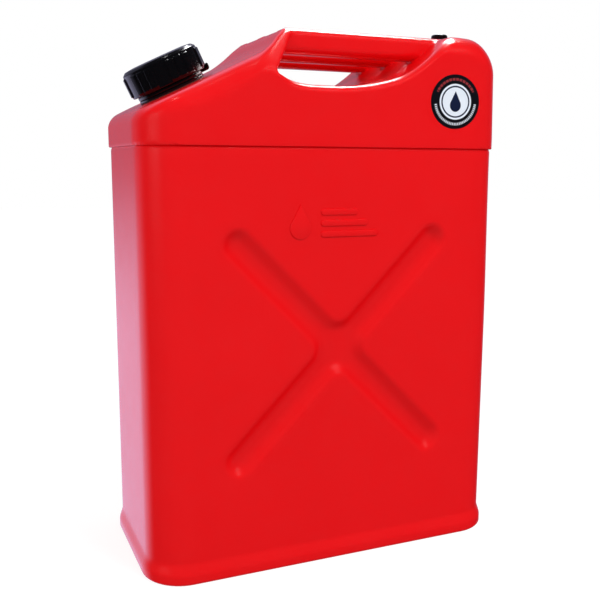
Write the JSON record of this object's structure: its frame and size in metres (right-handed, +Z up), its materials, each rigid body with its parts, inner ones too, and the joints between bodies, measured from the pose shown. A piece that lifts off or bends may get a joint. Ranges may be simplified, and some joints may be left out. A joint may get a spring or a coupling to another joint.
{
  "type": "fuel can",
  "caption": "Upright moulded plastic fuel can with a pressed cross, carrying bars over a dished deck, screwed filler cap and screwed vent.",
  "frame": {"origin": "centre of the base, where the foot meets the floor", "axes": "+Z up, +X along the width from the filler towards the vent, +Y through the thickness to the back"},
  "size_m": [0.3508, 0.1768, 0.49],
  "materials": {
    "can_plastic": "glossy moulded polyethylene",
    "black_plastic": "glossy moulded",
    "seal": "matte",
    "label": "printed gloss vinyl"
  },
  "bodies": {
    "can": {"lower_shell": "can_plastic", "upper_shell": "can_plastic", "handle_front": "can_plastic", "handle_middle": "can_plastic", "handle_rear": "can_plastic", "filler_neck": "black_plastic", "neck_gasket": "seal", "vent_bush": "black_plastic", "certification_label": "label"},
    "collar": {"neck_collar": "black_plastic"},
    "cap_seal": {"cap_gasket": "seal", "cap_disc": "black_plastic"},
    "cap": {"filler_cap": "black_plastic"},
    "vent_seal": {"vent_gasket": "seal"},
    "vent_screw": {"vent_cap": "black_plastic"}
  },
  "joints": [
    {"name": "cap_lift", "type": "slide", "parent": "can", "child": "cap_seal", "axis": [-0.4337, 0, 0.9011], "range_m": [0, 0.0181]},
    {"name": "cap_turn", "type": "hinge", "parent": "cap_seal", "child": "cap", "pos_m": [-0.1256, 0, 0.42564], "axis": [-0.4337, 0, 0.9011], "range_deg": [0, 1080]},
    {"name": "collar_swivel", "type": "hinge", "parent": "can", "child": "collar", "pos_m": [-0.1256, 0, 0.42564], "axis": [-0.4337, 0, 0.9011], "continuous": true},
    {"name": "vent_lift", "type": "slide", "parent": "can", "child": "vent_seal", "axis": [0, 0, 1], "range_m": [0, 0.00801]},
    {"name": "vent_turn", "type": "hinge", "parent": "vent_seal", "child": "vent_screw", "pos_m": [0.1484, 0, 0.477], "axis": [0, 0, 1], "range_deg": [0, 1440]}
  ],
  "couplings": [
    {"joint": "cap_lift", "follows": "cap_turn", "m_per_rad": 0.00095493},
    {"joint": "vent_lift", "follows": "vent_turn", "m_per_rad": 0.00031831}
  ]
}
